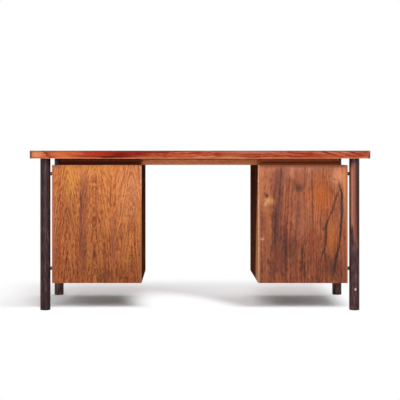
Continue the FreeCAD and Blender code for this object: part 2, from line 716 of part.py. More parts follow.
make_worktop()
make_underframe()
make_screws()
make_legs()
make_leg_fittings()
for case_side, case_sign in SIDES.items():
    make_case(case_side, case_sign)
make_drawers("left", -1, [("top", "left_top_front"), ("middle", "left_middle_front"), ("bottom", None)])
make_drawers("right", 1, [("top", "right_top_front"), ("file", None)])
doc.recompute()

failed = [item.Label for item in doc.Objects if {"Invalid", "Error"} & set(item.State)]
broken = [node.Label for node in nodes if node.Shape.isNull() or not node.Shape.isValid()]
if failed or broken:
    raise RuntimeError(f"failed: {failed}, not valid: {broken}")
for node in nodes:
    node.Shape.exportStep(f"parts/{node.Label}.step")
print(len(nodes), "nodes,", sum(len(node.Shape.Solids) for node in nodes), "solids")
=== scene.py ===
import json
import math

import bpy
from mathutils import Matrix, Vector

# Executive desk in rosewood, seen from the visitor's side. Metres, +Z up, -Y towards the visitor.

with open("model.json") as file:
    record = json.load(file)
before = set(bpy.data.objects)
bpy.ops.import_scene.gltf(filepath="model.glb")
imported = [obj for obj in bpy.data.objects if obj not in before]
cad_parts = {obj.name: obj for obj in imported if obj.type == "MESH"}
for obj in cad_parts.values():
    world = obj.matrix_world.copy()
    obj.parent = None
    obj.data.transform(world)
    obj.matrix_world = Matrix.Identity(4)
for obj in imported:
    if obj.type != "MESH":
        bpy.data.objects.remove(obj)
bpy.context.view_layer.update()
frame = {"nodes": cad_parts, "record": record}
nodes = frame["nodes"]

# Millimetres in a metre
MM = 1000

# The photograph's frame and focal length in its pixels, and where lines that run away from the
# visitor meet in it. The sensor is in millimetres, the camera's place in metres.
FRAME_PIXELS = 400
VANISHING_PIXEL = (181.4, 157)
FOCAL_PIXELS = 1177
SENSOR_WIDTH = 36
CAMERA_PLACE = (-0.085, -5.735, 0.706)


def add(tree, kind, inputs=None, **settings):
    """Adds a node. An input takes a value, a socket, or a node, whose first output it gets."""
    made = tree.nodes.new("ShaderNode" + kind)
    for name, setting in settings.items():
        setattr(made, name, setting)
    for socket, given in (inputs or {}).items():
        if isinstance(given, bpy.types.Node):
            given = given.outputs[0]
        if isinstance(given, bpy.types.NodeSocket):
            tree.links.new(given, made.inputs[socket])
        else:
            made.inputs[socket].default_value = given
    return made


def colour(hex_code):
    """An sRGB hex colour as linear RGBA."""
    levels = [int(hex_code[place:place + 2], 16) / 255 for place in (1, 3, 5)]
    linear = [level / 12.92 if level <= 0.04045 else ((level + 0.055) / 1.055) ** 2.4 for level in levels]
    return (*linear, 1)


def new_material(name, **uniform):
    """A material with its uniform values on the shader's own sockets: it, its tree and its shader."""
    material = bpy.data.materials.new(name)
    material.use_nodes = True
    tree = material.node_tree
    shader = tree.nodes["Principled BSDF"]
    for socket, setting in uniform.items():
        shader.inputs[socket.replace("_", " ")].default_value = setting
    return material, tree, shader


# Places in a piece of wood, in millimetres

def board_place(tree, grain):
    """X across the grain, Y into the face and Z along it.

    A grain names the desk's axes in that order: "ZYX" is a rail or a front edge, whose grain runs
    along the desk's X.
    """
    where = add(tree, "TexCoord").outputs["Object"]
    scaled = add(tree, "VectorMath", {0: where, "Scale": MM}, operation="SCALE")
    axes = add(tree, "SeparateXYZ", {0: scaled})
    turned = {axis: axes.outputs[desk_axis] for axis, desk_axis in zip("XYZ", grain)}
    return add(tree, "CombineXYZ", turned)


# The levels that a noise texture seldom leaves
NOISE_RANGE = {"From Min": 0.25, "From Max": 0.75}


def wander(tree, place, size, reach=1.0, detail=2.0):
    """A smooth wander of plus or minus reach, over patches of the given sizes across, into and along."""
    patches = add(tree, "VectorMath", {0: place, 1: size}, operation="DIVIDE")
    noise = add(tree, "TexNoise", {"Vector": patches, "Scale": 1.0, "Detail": detail})
    return add(tree, "MapRange", {"Value": noise, **NOISE_RANGE, "To Min": -reach, "To Max": reach},
               clamp=False)


def drawn_line(tree, run, points):
    """The sideways place of a smooth line, drawn through given points of run and side."""
    points = sorted(points)
    runs, sides = zip(*points)
    run_low, run_high, side_low, side_high = runs[0], runs[-1], min(sides), max(sides)
    share = add(tree, "MapRange", {"Value": run, "From Min": run_low, "From Max": run_high})
    line = add(tree, "FloatCurve", {"Value": share})
    handles = line.mapping.curves[0].points
    for _ in points[2:]:
        handles.new(0.5, 0.5)
    spread = side_high - side_low or 1
    for handle, (at, side) in zip(handles, points):
        handle.location = ((at - run_low) / (run_high - run_low), (side - side_low) / spread)
    line.mapping.update()
    return add(tree, "MapRange", {"Value": line, "To Min": side_low, "To Max": side_high})


def past_line(tree, place, line):
    """How far a place lies past a line across the grain: drawn points, or one number for a straight one."""
    axes = add(tree, "SeparateXYZ", {0: place})
    side = drawn_line(tree, axes.outputs["Z"], line) if isinstance(line, list) else line
    return add(tree, "Math", {0: axes.outputs["X"], 1: side}, operation="SUBTRACT")


def leaves(tree, place, seam, width, slice_depth=14):
    """Book-matched veneer: the place folded back at each seam, each leaf another slice of the log."""
    axes = add(tree, "SeparateXYZ", {0: place})
    past_seam = add(tree, "Math", {0: axes.outputs["X"], 1: seam}, operation="SUBTRACT")
    folded = add(tree, "Math", {0: past_seam, 1: width}, operation="PINGPONG")
    count = add(tree, "Math", {0: past_seam, 1: width}, operation="DIVIDE")
    number = add(tree, "Math", {0: count}, operation="FLOOR")
    depth = add(tree, "Math", {0: number, 1: slice_depth, 2: axes.outputs["Y"]}, operation="MULTIPLY_ADD")
    return add(tree, "CombineXYZ", {"X": folded, "Y": depth, "Z": axes.outputs["Z"]})


def growth_place(tree, place, heart, rise=None, warp=9.0):
    """A place with its distance from the heart of the log as X, bent as real growth is.

    A heart is its place across, its depth and its lean along the board. A rise, points of along
    and growth, draws the pointed arches of a flat-cut sheet. Warp is how far the growth bends.
    """
    axes = add(tree, "SeparateXYZ", {0: place})
    side = add(tree, "Math", {0: axes.outputs["X"], 1: heart[0]}, operation="SUBTRACT")
    lean = add(tree, "Math", {0: axes.outputs["Z"], 1: heart[2], 2: -heart[1]}, operation="MULTIPLY_ADD")
    depth = lean if rise else add(tree, "Math", {0: axes.outputs["Y"], 1: lean}, operation="ADD")
    section = add(tree, "CombineXYZ", {"X": side, "Y": depth})
    distance = add(tree, "VectorMath", {0: section}, operation="LENGTH").outputs["Value"]
    if rise:
        grown = drawn_line(tree, axes.outputs["Z"], rise)
        distance = add(tree, "Math", {0: distance, 1: grown}, operation="ADD")
    broad = wander(tree, place, (60, 60, 260), warp)
    close = wander(tree, place, (14, 14, 60), warp / 4)
    bent = add(tree, "Math", {0: distance, 1: broad}, operation="ADD")
    bent = add(tree, "Math", {0: bent, 1: close}, operation="ADD")
    return add(tree, "CombineXYZ", {"X": bent, "Y": axes.outputs["Y"], "Z": axes.outputs["Z"]})


# Wood finishes

def growth_bands(tree, growth, width=6.0):
    """Light and dark growth, plus or minus 1, in uneven bands of about a width."""
    axes = add(tree, "SeparateXYZ", {0: growth})
    count = add(tree, "Math", {0: axes.outputs["X"], 1: width}, operation="DIVIDE")
    noise = add(tree, "TexNoise", {"W": count, "Scale": 1.0, "Detail": 3.0, "Roughness": 0.6},
                noise_dimensions="1D")
    return add(tree, "MapRange", {"Value": noise, **NOISE_RANGE, "To Min": -1.0, "To Max": 1.0})


# The noise above which a dash shows where next to none are wanted, and how far an amount of 1,
# which covers nearly half of the wood, lowers it
DASH_LEVEL, DASH_DROP = 0.72, 0.2


def dashes(tree, place, size, amount, soft=0.08):
    """Short streaks along the grain, such as open pores: a mask of 0 to 1."""
    patches = add(tree, "VectorMath", {0: place, 1: size}, operation="DIVIDE")
    noise = add(tree, "TexNoise", {"Vector": patches, "Scale": 1.0, "Detail": 1.0})
    edge = DASH_LEVEL - DASH_DROP * amount
    return add(tree, "MapRange", {"Value": noise, "From Min": edge, "From Max": edge + soft})


# The middle of a wood's five tones
MIDDLE_TONE = 0.5


def growth_tone(tree, *parts):
    """How pale the growth is, from 0 to 1: parts of plus or minus 1, each with its share."""
    tone = MIDDLE_TONE
    for part, share in parts:
        tone = add(tree, "Math", {0: part, 1: share, 2: tone}, operation="MULTIPLY_ADD")
    return tone


# How pale growth is at each of a wood's five tones
TONE_PLACES = (0.2, 0.37, MIDDLE_TONE, 0.63, 0.8)


def wood_colour(tree, tone, tones):
    """A wood's colour, through five tones from its darkest growth to its palest."""
    made = add(tree, "ValToRGB", {"Fac": tone})
    elements = made.color_ramp.elements
    for _ in tones[2:]:
        elements.new(0.5)
    for element, share, hex_code in zip(elements, TONE_PLACES, tones):
        element.position = share
        element.color = colour(hex_code)
    return made.outputs[0]


def tint(tree, below, mask, hex_code, strength=1.0, blend="MIX"):
    """Lays a colour over another where the mask is, as stain, dark growth or a pale patch does."""
    factor = add(tree, "Math", {0: mask, 1: strength}, operation="MULTIPLY")
    return add(tree, "Mix", {0: factor, 6: below, 7: colour(hex_code)}, data_type="RGBA",
               blend_type=blend).outputs[2]


# The share of a line's half width that keeps its full colour
LINE_CORE = 0.2


def line_mask(tree, place, line, half_width, fade):
    """A line with soft sides, fading out over its ends."""
    away = add(tree, "Math", {0: past_line(tree, place, line)}, operation="ABSOLUTE")
    core = half_width * LINE_CORE
    body = add(tree, "MapRange", {"Value": away, "From Min": half_width, "From Max": core},
               interpolation_type="SMOOTHSTEP")
    along = add(tree, "SeparateXYZ", {0: place}).outputs["Z"]
    low, high = min(line)[0], max(line)[0]
    from_low = add(tree, "MapRange", {"Value": along, "From Min": low, "From Max": low + fade})
    from_high = add(tree, "MapRange", {"Value": along, "From Min": high, "From Max": high - fade})
    faded = add(tree, "Math", {0: from_low, 1: from_high}, operation="MULTIPLY")
    return add(tree, "Math", {0: body, 1: faded}, operation="MULTIPLY")


def patch_mask(tree, place, centre, radii):
    """A soft oval about an (across, along) centre, 1 in the middle and 0 at its radii."""
    flat = add(tree, "VectorMath", {0: place, 1: (centre[0], 0, centre[1])}, operation="SUBTRACT")
    shares = add(tree, "VectorMath", {0: flat, 1: (1 / radii[0], 0, 1 / radii[1])}, operation="MULTIPLY")
    away = add(tree, "VectorMath", {0: shares}, operation="LENGTH").outputs["Value"]
    return add(tree, "MapRange", {"Value": away, "From Min": 1, "From Max": 0},
               interpolation_type="SMOOTHSTEP")


def strip_mask(tree, place, low, high, soft):
    """The strip between two lines, with soft edges."""
    past_low = add(tree, "MapRange", {"Value": past_line(tree, place, low),
                                      "From Min": -soft, "From Max": soft})
    before_high = add(tree, "MapRange", {"Value": past_line(tree, place, high),
                                         "From Min": soft, "From Max": -soft})
    return add(tree, "Math", {0: past_low, 1: before_high}, operation="MULTIPLY")


def end_mask(tree, place, low, soft):
    """All that lies above a place along the grain, with a soft edge."""
    along = add(tree, "SeparateXYZ", {0: place}).outputs["Z"]
    return add(tree, "MapRange", {"Value": along, "From Min": low - soft, "From Max": low + soft})


def lay_marks(tree, place, base, marks, ragged=(14, 40)):
    """The board's marks, such as knots, dark veins, pale patches and painted light and shade, ragged unless
    they are sharp.

    Each mark is one of these, in millimetres of the board's place:
      centre, radii        an oval, both given (across, along)
      line, width, fade    a line through (along, across) points, this wide on each side of its
                           middle, which fades over its ends
      between, soft        a strip between two limits across, each a number or such a line
      above, soft          what lies above a number along
    Ragged is about how far noise moves a mark's outline across and along.
    """
    if not marks:
        return base
    patches = add(tree, "VectorMath", {0: place, 1: (ragged[0], 30, ragged[1] * 1.5)}, operation="DIVIDE")
    noise = add(tree, "TexNoise", {"Vector": patches, "Scale": 1.0, "Detail": 3.0})
    centred = add(tree, "VectorMath", {0: noise.outputs["Color"], 1: (0.5, 0.5, 0.5)}, operation="SUBTRACT")
    shift = add(tree, "VectorMath", {0: centred, 1: (ragged[0], 0, ragged[1])}, operation="MULTIPLY")
    moved = add(tree, "VectorMath", {0: place, 1: shift}, operation="ADD")
    for mark in marks:
        here = place if mark.get("sharp") else moved
        if "line" in mark:
            mask = line_mask(tree, here, mark["line"], mark["width"], mark["fade"])
        elif "between" in mark:
            mask = strip_mask(tree, here, *mark["between"], mark["soft"])
        elif "above" in mark:
            mask = end_mask(tree, here, mark["above"], mark["soft"])
        else:
            mask = patch_mask(tree, here, mark["centre"], mark["radii"])
        base = tint(tree, base, mask, mark["colour"], mark["strength"], mark.get("blend", "MIX"))
    return base


# Oil and clear lacquer
FINISH_IOR = 1.5

# The shades that open pores, and flecks, which are groups of pores, lay over the wood, and what a
# pore adds to its roughness and relief
PORE_SHADE, FLECK_SHADE = "#7A4630", "#96522F"
PORE_ROUGHNESS, PORE_RELIEF = 0.25, -0.8


def finish_wood(tree, shader, base, pores, fibre, pore_depth=0.00008, sheen=0.42):
    """Open pores and raised fibre under a thin finish, in colour, roughness and relief."""
    shaded = tint(tree, base, pores, PORE_SHADE, 0.6, "MULTIPLY")
    tree.links.new(shaded, shader.inputs["Base Color"])
    rough = add(tree, "MapRange", {"Value": fibre, "From Min": -1.0, "From Max": 1.0,
                                   "To Min": sheen - 0.06, "To Max": sheen + 0.08})
    opened = add(tree, "Math", {0: pores, 1: PORE_ROUGHNESS, 2: rough}, operation="MULTIPLY_ADD")
    tree.links.new(opened.outputs[0], shader.inputs["Roughness"])
    relief = add(tree, "Math", {0: pores, 1: PORE_RELIEF, 2: fibre}, operation="MULTIPLY_ADD")
    bump = add(tree, "Bump", {"Height": relief, "Strength": 0.35, "Distance": pore_depth})
    tree.links.new(bump.outputs[0], shader.inputs["Normal"])


def rosewood(name, grain, tones, heart=(0, 90, 0.02), rise=None, warp=9.0, leaf=None, streak=7,
             run=300, arch=0.1, straight=0.12, fine=0.12, cloud=0.08, blush=("#B4502C", 0.3),
             flecks=0.5, fleck_zone=None, marks=(), ragged=(14, 40), painted_falloff=None, gloss=0.2):
    """Rosewood, sliced or sawn, sanded and oiled: streaked growth, fine dark flecks and open pores.

    Heart, rise and warp are as growth_place takes them, and leaf is the first seam and the width of
    book-matched leaves. Streak and run say how wide and long the streaks are, and arch and straight
    how much they follow the growth rings, or run straight as in a board cut towards the heart. Fine
    and cloud say how much of the figure is fine or broad, and blush is the colour and strength of
    its red streaks. Flecks are groups of pores in the darker growth, and a fleck zone keeps them
    within a reach of a line down each leaf. They and the fine figure are drawn 3 to 5 mm wide, and
    the pores 1 mm, coarser than real, so that they show. The darkening towards the foot is painted
    shade, and the flecks weaken towards the top with it: the setting gives the shade at the foot,
    and the heights where that begins and ends.
    """
    material, tree, shader = new_material(name, IOR=FINISH_IOR, Specular_IOR_Level=gloss)
    place = board_place(tree, grain)
    sheet = leaves(tree, place, *leaf) if leaf else place
    growth = growth_place(tree, sheet, heart, rise, warp)
    fibre = wander(tree, growth, (2.0, 6, 60))
    bands = growth_bands(tree, growth)
    tone = growth_tone(tree, (bands, arch),
                       # Fine figure, and streaks that follow the growth
                       (wander(tree, growth, (4.6, 8, 26)), fine),
                       (wander(tree, growth, (streak, 30, run * 0.8), detail=4.0), arch),
                       # Straight streaks, narrow and broad
                       (wander(tree, sheet, (streak, 30, run), detail=5.0), straight),
                       (wander(tree, sheet, (streak * 4, 40, run), detail=3.0), straight),
                       # Broad clouds of paler and darker wood
                       (wander(tree, sheet, (60, 60, 130), detail=3.0), cloud))
    base = wood_colour(tree, tone, tones)
    base = tint(tree, base, dashes(tree, growth, (streak * 1.5, 40, 330), amount=0.95, soft=0.2),
                *blush)
    base = lay_marks(tree, place, base, marks, ragged)
    dense = add(tree, "MapRange", {"Value": bands, "From Min": 0.3, "From Max": -0.4})
    if painted_falloff:
        # Painted shade, darkening the board towards its foot
        shade, low, high = painted_falloff
        height = add(tree, "SeparateXYZ", {0: place}).outputs["Z"]
        kept = add(tree, "MapRange", {"Value": height, "From Min": high, "From Max": low})
        base = tint(tree, base, kept, shade, blend="MULTIPLY")
        # A third of the flecks' depth is left at the top, where the painted shade is gone
        left_dark = add(tree, "MapRange", {"Value": kept, "From Max": 0.35, "To Min": 0.35})
        dense = add(tree, "Math", {0: dense, 1: left_dark}, operation="MULTIPLY")
    if fleck_zone:
        middle, reach = fleck_zone
        away = add(tree, "Math", {0: past_line(tree, sheet, middle)}, operation="ABSOLUTE")
        zone = add(tree, "MapRange", {"Value": away, "From Min": reach, "From Max": reach * 0.6})
        dense = add(tree, "Math", {0: dense, 1: zone}, operation="MULTIPLY")
    short = dashes(tree, sheet, (3.0, 5, 13), amount=1.2, soft=0.12)
    in_dark = add(tree, "Math", {0: short, 1: dense}, operation="MULTIPLY")
    base = tint(tree, base, in_dark, FLECK_SHADE, flecks, "MULTIPLY")
    pores = dashes(tree, growth, (1.1, 2, 26), amount=0.35)
    finish_wood(tree, shader, base, pores, fibre)
    return material


# The five tones of each wood, from its darkest growth to its palest
ORANGE = ("#984A1B", "#BA672C", "#CD7A3A", "#DB8542", "#E8914B")
RUSSET = ("#6E3A22", "#955232", "#B1643D", "#C27048", "#D48459")
RED = ("#7C2410", "#95381F", "#A64A2C", "#B75A3A", "#C97252")
BROWN = ("#3C1E14", "#542C1E", "#683826", "#7E4830", "#96603E")
# The rail's tones are partly its wood's colour and partly painted light
MAHOGANY = ("#BC6A3C", "#D07A4A", "#DE8856", "#EA9664", "#F6A674")
BEECH = ("#C8966A", "#D6A67A", "#E2B68C", "#EAC29A", "#F0CEA8")
STAIN = ("#190A09", "#271210", "#331918", "#402423", "#593B39")
WORN_STAIN = ("#24100E", "#361E1C", "#452A28", "#533736", "#6A4A49")
# The rear legs' stain is painted paler than the front ones', as painted light where the desk shades them
REAR_STAIN = ("#301A18", "#482C2A", "#5A3836", "#684644", "#7E5C5A")

# The marks of each board, as lay_marks takes them

# Left panel: golden at the top and painted lighter there, as painted light, darker towards the
# floor, as painted shade, reddish at its left edge, and dark growth at the seams
LEFT_MARKS = [
    # Painted light: a lighter, golden patch across the top
    {"centre": (-500, 690), "radii": (170, 120), "colour": "#E09A4A", "strength": 0.4},
    {"centre": (-596, 600), "radii": (46, 140), "colour": "#E0983C", "strength": 0.6},
    {"centre": (-333, 520), "radii": (70, 220), "colour": "#E0905C", "strength": 0.5},
    {"centre": (-335, 235), "radii": (28, 90), "colour": "#E0943E", "strength": 0.6},
    {"centre": (-470, 200), "radii": (40, 80), "colour": "#D08A40", "strength": 0.4},
    {"centre": (-604, 430), "radii": (56, 130), "colour": "#A05C2A", "strength": 0.5},
    {"centre": (-430, 150), "radii": (60, 60), "colour": "#8E5030", "strength": 0.6},
    {"line": [(130, -536), (400, -534), (660, -532)], "width": 26, "fade": 60,
     "colour": "#A05C3C", "strength": 0.5},
    {"centre": (-530, 520), "radii": (40, 120), "colour": "#8E4A2C", "strength": 0.5},
    {"centre": (-482, 500), "radii": (30, 90), "colour": "#B06436", "strength": 0.5},
    {"line": [(150, -646), (400, -644), (600, -648)], "width": 7, "fade": 80,
     "colour": "#C0522E", "strength": 0.6},
    {"line": [(150, -659), (380, -657), (560, -660)], "width": 6, "fade": 80,
     "colour": "#8E6A40", "strength": 0.5},
    {"line": [(130, -671), (380, -670), (600, -672)], "width": 7, "fade": 80,
     "colour": "#C0603A", "strength": 0.6},
    {"centre": (-300, 560), "radii": (30, 140), "colour": "#D08864", "strength": 0.45},
    {"line": [(236, -549), (380, -547), (470, -548), (560, -547)], "width": 9, "fade": 60,
     "colour": "#8A4430", "strength": 0.75},
    {"line": [(455, -548), (490, -547), (540, -548)], "width": 6, "fade": 20,
     "colour": "#5A2A20", "strength": 0.7},
    {"line": [(470, -411), (520, -412), (560, -410)], "width": 6, "fade": 25,
     "colour": "#6A3422", "strength": 0.75},
    {"line": [(180, -402), (330, -398), (450, -406)], "width": 12, "fade": 80,
     "colour": "#A0604C", "strength": 0.5},
]

# Right panel: two dark veins, two knots, seams, smoky and reddish streaks, an orange zone, a short
# pale scratch, a pale outer edge, and the worktop's painted shadow along its top edge
RIGHT_MARKS = [
    {"centre": (450, 690), "radii": (240, 110), "colour": "#C48468", "strength": 0.45},
    {"between": (262, 326), "soft": 14, "colour": "#CC7E54", "strength": 0.45},
    {"line": [(130, 356), (420, 358), (669, 352)], "width": 44, "fade": 60,
     "colour": "#7E4232", "strength": 0.6},
    {"centre": (552, 525), "radii": (96, 140), "colour": "#CC6828", "strength": 0.75},
    {"centre": (604, 342), "radii": (36, 140), "colour": "#D87C30", "strength": 0.75},
    {"centre": (642, 612), "radii": (64, 84), "colour": "#E8986C", "strength": 0.85},
    {"centre": (668, 520), "radii": (16, 230), "colour": "#E8985E", "strength": 0.7},
    {"centre": (478, 400), "radii": (60, 110), "colour": "#B86E54", "strength": 0.6},
    {"centre": (525, 320), "radii": (44, 130), "colour": "#BC5E3A", "strength": 0.6},
    {"centre": (412, 285), "radii": (80, 120), "colour": "#683828", "strength": 0.6},
    {"centre": (625, 200), "radii": (90, 70), "colour": "#6E3C2E", "strength": 0.5},
    {"centre": (448, 490), "radii": (60, 90), "colour": "#7E4636", "strength": 0.55},
    {"centre": (484, 450), "radii": (22, 130), "colour": "#C07848", "strength": 0.4},
    {"centre": (290, 405), "radii": (34, 80), "colour": "#8A4030", "strength": 0.6},
    {"line": [(230, 312), (360, 318), (470, 312)], "width": 11, "fade": 50,
     "colour": "#B86C34", "strength": 0.6},
    {"centre": (314, 222), "radii": (12, 26), "colour": "#4A2A18", "strength": 0.7},
    {"line": [(540, 352), (600, 349), (660, 351)], "width": 8, "fade": 30,
     "colour": "#8A3E28", "strength": 0.6},
    {"line": [(520, 376), (577, 370), (620, 374), (672, 373)], "width": 6, "fade": 30,
     "colour": "#4A241A", "strength": 0.8},
    {"line": [(330, 523), (577, 518), (620, 518), (672, 517)], "width": 6, "fade": 90,
     "colour": "#522C20", "strength": 0.7},
    {"line": [(560, 508), (672, 508)], "width": 6, "fade": 40, "colour": "#B89080", "strength": 0.4},
    {"line": [(290, 348), (400, 354), (480, 362), (590, 368)], "width": 21, "fade": 90,
     "colour": "#5E3C30", "strength": 0.5},
    {"line": [(270, 347), (330, 344), (400, 347), (500, 356)], "width": 7, "fade": 50,
     "colour": "#3A221C", "strength": 0.75},
    {"centre": (470, 575), "radii": (60, 110), "colour": "#8A4632", "strength": 0.5},
    {"centre": (372, 610), "radii": (46, 90), "colour": "#74463C", "strength": 0.5},
    {"centre": (420, 640), "radii": (24, 60), "colour": "#C88462", "strength": 0.5},
    {"centre": (290, 230), "radii": (40, 130), "colour": "#964A34", "strength": 0.4},
    # A knot in its pale ring, a second knot and a pin knot
    {"centre": (314, 504), "radii": (38, 34), "colour": "#E8AA6A", "strength": 0.9},
    {"centre": (308, 528), "radii": (14, 20), "colour": "#3C2A18", "strength": 0.95},
    {"centre": (456, 565), "radii": (40, 30), "colour": "#4A3420", "strength": 0.9},
    {"centre": (621, 600), "radii": (9, 9), "colour": "#5A3020", "strength": 0.8},
    # The outer vein, and the smoky growth beside it
    {"line": [(130, 603), (172, 617), (257, 628), (296, 641), (361, 648), (462, 656), (526, 656),
              (572, 643), (610, 638)], "width": 8, "fade": 50, "colour": "#2C1E1C", "strength": 0.85},
    {"line": [(400, 652), (462, 655), (540, 652)], "width": 15, "fade": 60,
     "colour": "#4A3E3E", "strength": 0.7},
    {"line": [(130, 612), (200, 610), (260, 622)], "width": 20, "fade": 50,
     "colour": "#5A3E36", "strength": 0.5},
    # The inner vein, which joins it near the top
    {"line": [(185, 548), (222, 556), (287, 573), (338, 581), (384, 581), (416, 588), (466, 613),
              (526, 630), (563, 643), (600, 645)], "width": 7, "fade": 80, "colour": "#381E18",
     "strength": 0.75},
    {"line": [(330, 580), (384, 582), (430, 592)], "width": 11, "fade": 40,
     "colour": "#4A2A20", "strength": 0.6},
    # The scratch, and the worktop's painted shadow along the top edge
    {"centre": (287, 328), "radii": (16, 10), "colour": "#F4B89A", "strength": 0.9, "sharp": True},
    {"above": 659.5, "soft": 3.5, "colour": "#8E4E30", "strength": 0.8, "sharp": True},
]

# The worktop's front edge: from its orange end, past a deep red stretch with a crack, to the dark
# diagonal growth at the right, with its upper arris painted dark, as painted shade, and its lower
# one painted pale, as a painted highlight
EDGE_MARKS = [
    {"centre": (716, -738), "radii": (60, 56), "colour": "#E08A5A", "strength": 0.95},
    {"centre": (714, -615), "radii": (60, 120), "colour": "#D66A3E", "strength": 0.85},
    {"centre": (726, -540), "radii": (16, 130), "colour": "#B4502E", "strength": 0.5},
    {"centre": (716, -365), "radii": (80, 215), "colour": "#801000", "strength": 0.93},
    {"centre": (716, -500), "radii": (60, 50), "colour": "#A83420", "strength": 0.7},
    {"centre": (717, -450), "radii": (15, 84), "colour": "#BC3810", "strength": 0.7},
    {"centre": (703, -425), "radii": (14, 90), "colour": "#5A1208", "strength": 0.95},
    {"centre": (734, 240), "radii": (22, 300), "colour": "#D88A72", "strength": 0.6},
    {"centre": (704, 140), "radii": (16, 100), "colour": "#D88662", "strength": 0.6},
    {"centre": (700, 480), "radii": (18, 260), "colour": "#86301C", "strength": 0.7},
    {"centre": (712, -90), "radii": (26, 110), "colour": "#C65A30", "strength": 0.5},
    {"centre": (710, 510), "radii": (22, 300), "colour": "#A83010", "strength": 0.45},
    {"centre": (710, -690), "radii": (20, 60), "colour": "#B0482A", "strength": 0.5},
    {"centre": (711, -368), "radii": (20, 52), "colour": "#6A1408", "strength": 0.55},
    {"centre": (713, -215), "radii": (20, 48), "colour": "#CC6640", "strength": 0.4},
    {"centre": (729, -440), "radii": (14, 110), "colour": "#A82810", "strength": 0.45},
    {"centre": (730, 120), "radii": (12, 52), "colour": "#9C4630", "strength": 0.4},
    {"line": [(-718, 738), (-700, 722), (-684, 706), (-670, 697)], "width": 10, "fade": 4,
     "colour": "#6E2010", "strength": 0.75},
    {"line": [(-640, 724), (-560, 712), (-500, 700)], "width": 4, "fade": 30,
     "colour": "#A03C20", "strength": 0.6},
    {"line": [(-180, 726), (-60, 722), (60, 727)], "width": 4, "fade": 60,
     "colour": "#8A3420", "strength": 0.6},
    {"line": [(120, 712), (260, 716), (420, 710)], "width": 4, "fade": 80,
     "colour": "#94341E", "strength": 0.6},
    {"line": [(380, 726), (470, 720), (560, 708)], "width": 4, "fade": 40,
     "colour": "#882C18", "strength": 0.7},
    {"centre": (726, 640), "radii": (40, 170), "colour": "#D8785A", "strength": 0.75},
    {"line": [(535, 740), (570, 728), (610, 716), (660, 704)], "width": 5, "fade": 10,
     "colour": "#6E200E", "strength": 0.85},
    {"line": [(580, 740), (620, 729), (665, 717), (710, 706)], "width": 4, "fade": 10,
     "colour": "#7A2814", "strength": 0.8},
    {"line": [(640, 740), (690, 727), (750, 712)], "width": 5, "fade": 10,
     "colour": "#6E200E", "strength": 0.85},
    {"centre": (714, 640), "radii": (14, 30), "colour": "#CE6840", "strength": 0.6},
    {"centre": (718, 770), "radii": (40, 16), "colour": "#C87A66", "strength": 0.6},
    # The whole edge warmed, the painted shade and highlight on its arrises, and the crack
    {"line": [(-640, 715), (820, 715)], "width": 12, "fade": 80, "colour": "#F8D4A6", "strength": 0.5,
     "blend": "MULTIPLY"},
    # Painted shade on the upper arris, and a painted highlight on the lower one
    {"between": (731, 800), "soft": 1.5, "colour": "#6A4840", "strength": 0.7},
    {"between": (600, 702), "soft": 1.0, "colour": "#E6966E", "strength": 0.9},
    {"line": [(-790, 703), (-705, 703)], "width": 5, "fade": 10, "colour": "#A8483C", "strength": 0.7},
    {"centre": (705, -410), "radii": (7, 62), "colour": "#4C0A02", "strength": 1.0},
]

# End lippings: the front corner at the left is bruised dark
CORNER_MARKS = [{"line": [(-400, -773), (-372, -773)], "width": 5, "fade": 4, "colour": "#4A2C28",
                 "strength": 0.75}]

# The rail: a painted shadow line under the worktop, a lower half painted paler as light from the
# floor, and faces above the pedestals painted darker and redder as painted shade, with bands
RAIL_MARKS = [
    # Painted shadow under the worktop
    {"between": (694, 800), "soft": 2, "colour": "#5A2C1A", "strength": 0.7},
    # Painted shade on the face above the right pedestal, with its bands
    {"line": [(262, 684), (720, 684)], "width": 90, "fade": 12, "colour": "#BE521C", "strength": 0.92},
    {"line": [(280, 691), (700, 691)], "width": 8, "fade": 20, "colour": "#DC7C4C", "strength": 0.8},
    # Painted light from the floor on the lower half
    {"between": (600, 683), "soft": 5, "colour": "#DE9468", "strength": 0.3},
    {"line": [(280, 680), (700, 680)], "width": 7, "fade": 20, "colour": "#8A2E06", "strength": 0.75},
    {"line": [(280, 670), (700, 670)], "width": 6, "fade": 20, "colour": "#D88050", "strength": 0.8},
    # Painted shade on the face above the left pedestal, with its bands
    {"line": [(-720, 684), (-262, 684)], "width": 90, "fade": 12, "colour": "#82300C", "strength": 0.95},
    {"line": [(-700, 690), (-280, 690)], "width": 7, "fade": 20, "colour": "#A05030", "strength": 0.5},
    {"line": [(-700, 681), (-280, 681)], "width": 7, "fade": 20, "colour": "#541402", "strength": 0.6},
    {"line": [(-700, 672), (-280, 672)], "width": 8, "fade": 20, "colour": "#7E1C00", "strength": 0.9},
]

# Rear legs: painted shade at their tops, under the worktop
REAR_LEG_MARKS = [{"centre": (side, 740), "radii": (70, 120), "colour": "#120A0A", "strength": 0.95}
                  for side in (-712, 712)]

